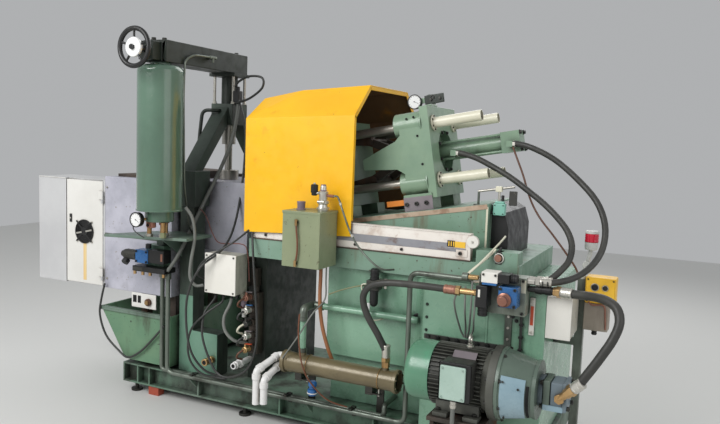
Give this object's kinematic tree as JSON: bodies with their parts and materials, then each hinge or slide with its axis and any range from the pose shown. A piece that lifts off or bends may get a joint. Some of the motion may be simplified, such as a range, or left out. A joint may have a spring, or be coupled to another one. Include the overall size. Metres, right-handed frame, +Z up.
{
  "type": "hot chamber die casting machine",
  "caption": "Hot chamber die casting machine with an inclined toggle clamp, sliding guard hood, furnace, accumulator and side-mounted hydraulic pump.",
  "frame": {"origin": "centre of the machine's footprint on the floor, measured without the hoses", "axes": "+X from the furnace towards the clamp cylinder, +Y from the operator's side to the back, +Z up"},
  "size_m": [3.6553, 1.326, 2.146],
  "materials": {
    "light_green": "semi-gloss light green machine enamel, oil-stained",
    "dark_green": "dull very dark green paint",
    "vessel_green": "glossy mid green enamel",
    "dark_steel": "dark oily steel",
    "red_block": "dull red paint",
    "furnace_sheet": "dull silver sheet with burn marks",
    "cabinet_white": "matt warm white powder coat with rust streaks",
    "box_white": "cream white powder coat",
    "black_metal": "black paint",
    "bright_steel": "ground steel with an oil film",
    "guard_orange": "orange-yellow enamel with scuffs",
    "rail_cream": "worn cream paint with a rusty edge",
    "cover_cream": "cream paint",
    "valve_blue": "blue enamel with black solenoids",
    "manifold_green": "olive green paint",
    "pipe_green": "grey-green painted pipe",
    "cooler_olive": "olive-brown paint",
    "drain_white": "white plastic pipe",
    "motor_green": "green enamel cowl with dark grey cast body",
    "bell_green": "grey-green enamel",
    "pump_grey": "grey cast iron with brass fitting",
    "mint_plastic": "mint green moulded case",
    "yellow_plastic": "yellow moulded box",
    "beacon_red": "red lens",
    "hose_black": "black hydraulic hose"
  },
  "bodies": {
    "machine": {"base_frame": "light_green", "levelling_feet": "dark_steel", "packing_block": "red_block", "drip_pan": "light_green", "furnace_legs": "dark_steel", "furnace_casing": "furnace_sheet", "furnace_cover": "dark_steel", "power_cabinet": "cabinet_white", "nozzle": "dark_steel", "accumulator_shelf": "vessel_green", "accumulator": "vessel_green", "crossbeam": "dark_green", "injection_cylinder": "dark_green", "injection_head": "dark_green", "front_column": "dark_green", "rear_column": "dark_green", "plunger_rod": "bright_steel", "furnace_valves": "valve_blue", "electrical_boxes": "box_white", "water_manifold": "dark_steel", "bed": "light_green", "bed_pedestal": "dark_green", "guard_rails": "rail_cream", "fixed_platen": "light_green", "moving_platen": "light_green", "tail_platen": "light_green", "tie_bars": "bright_steel", "tie_bar_covers": "cover_cream", "toggle_links": "dark_steel", "closing_cylinder": "light_green", "pressure_gauges": "black_metal", "limit_switch": "mint_plastic", "hydraulic_tank": "light_green", "valve_manifold": "manifold_green", "pump_valves": "valve_blue", "pressure_pipes": "pipe_green", "oil_cooler": "cooler_olive", "cooler_pipes": "light_green", "drain_elbows": "drain_white", "motor": "motor_green", "motor_base": "dark_steel", "bell_housing": "bell_green", "pump": "pump_grey", "lubrication_tank": "light_green", "air_unit": "black_metal", "button_post": "light_green", "button_box": "yellow_plastic", "beacon_lamp": "beacon_red", "hose_front": "hose_black", "hose_rear": "hose_black", "hose_pump": "hose_black", "hose_cooler": "hose_black"},
    "guard": {"guard_hood": "guard_orange", "guard_rollers": "dark_steel"},
    "handwheel": {"handwheel": "black_metal"},
    "cabinet_door": {"cabinet_door": "cabinet_white"}
  },
  "joints": [
    {"name": "guard_slide", "type": "slide", "parent": "machine", "child": "guard", "axis": [1, 0, 0], "range_m": [0, 0.6]},
    {"name": "handwheel_turn", "type": "hinge", "parent": "machine", "child": "handwheel", "pos_m": [-0.6105, -0.606, 2.036], "axis": [0, 1, 0], "continuous": true},
    {"name": "cabinet_door_swing", "type": "hinge", "parent": "machine", "child": "cabinet_door", "pos_m": [-1.2265, -0.245, 0.95], "axis": [0, 0, 1], "range_deg": [0, 110]}
  ]
}
